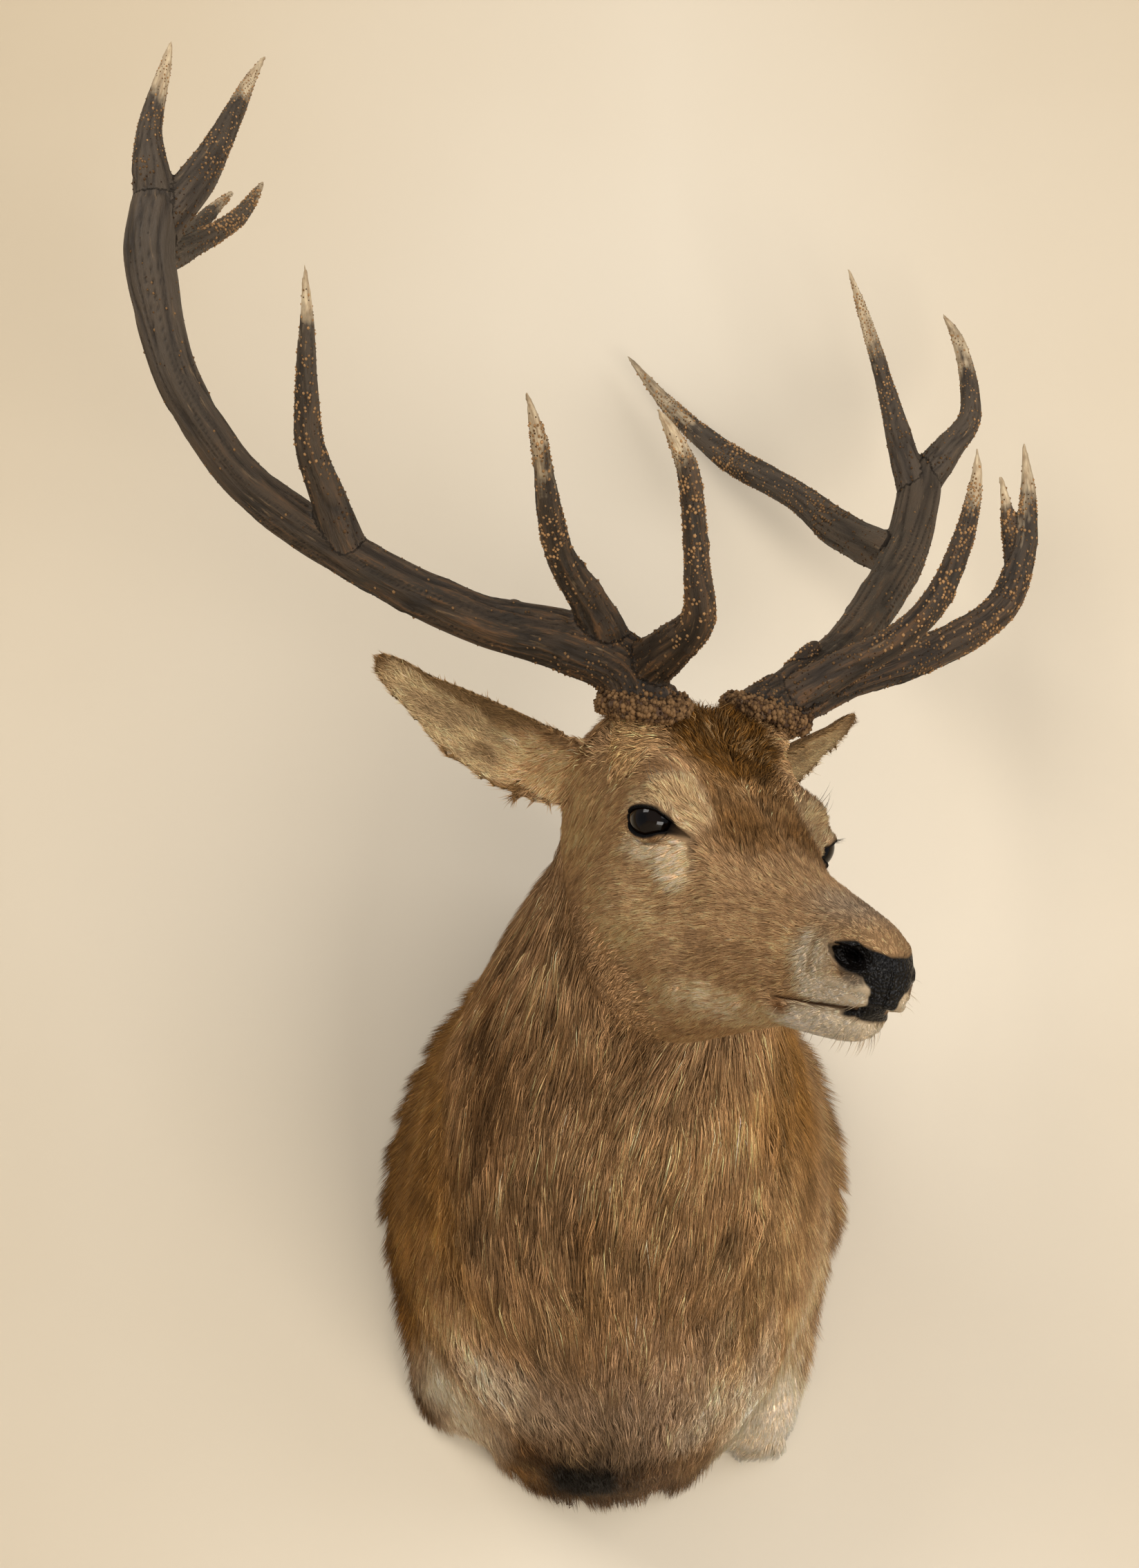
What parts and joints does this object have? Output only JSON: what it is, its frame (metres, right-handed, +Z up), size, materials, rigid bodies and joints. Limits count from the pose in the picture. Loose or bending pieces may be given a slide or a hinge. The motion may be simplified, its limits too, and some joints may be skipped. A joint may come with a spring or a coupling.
{
  "type": "red deer stag head mount",
  "caption": "Shoulder-mounted red deer stag head that hangs on a wall: turned head with branching antlers, maned neck and chest cape over a flush backboard.",
  "frame": {"origin": "centre of the backboard's flat back face, on the wall plane", "axes": "+Z up, +Y out of the back into the wall, so the stag looks out along -Y with its head turned towards +X; left and right in node names are the stag's own, and its left is +X"},
  "size_m": [0.7465, 0.7134, 1.179],
  "materials": {
    "coat": "matt, tanned hide with its hair on",
    "nose": "satin, pebbled bare skin painted black",
    "eye": "polished glass eye, dark brown behind",
    "antler": "rough dark brown with pale pearls, polished ivory at the tips",
    "plywood": "bare birch plywood, sanded"
  },
  "bodies": {
    "root": {"head": "coat", "lower_jaw": "coat", "neck": "coat", "chest": "coat", "shoulder_left": "coat", "shoulder_right": "coat", "ear_left": "coat", "ear_right": "coat", "nose_pad": "nose", "eye_left": "eye", "eye_right": "eye", "backboard": "plywood", "antler_left_burr": "antler", "antler_left_beam_lower": "antler", "antler_left_beam_upper": "antler", "antler_left_brow": "antler", "antler_left_bez": "antler", "antler_left_bez_fork": "antler", "antler_left_crown_outer": "antler", "antler_left_crown_inner": "antler", "antler_left_back": "antler", "antler_left_stub": "antler", "antler_right_burr": "antler", "antler_right_beam_lower": "antler", "antler_right_beam_upper": "antler", "antler_right_brow": "antler", "antler_right_bez": "antler", "antler_right_trez": "antler", "antler_right_crown_outer": "antler", "antler_right_crown_inner": "antler", "antler_right_crown_back": "antler", "antler_right_crown_back_fork": "antler"}
  },
  "joints": []
}
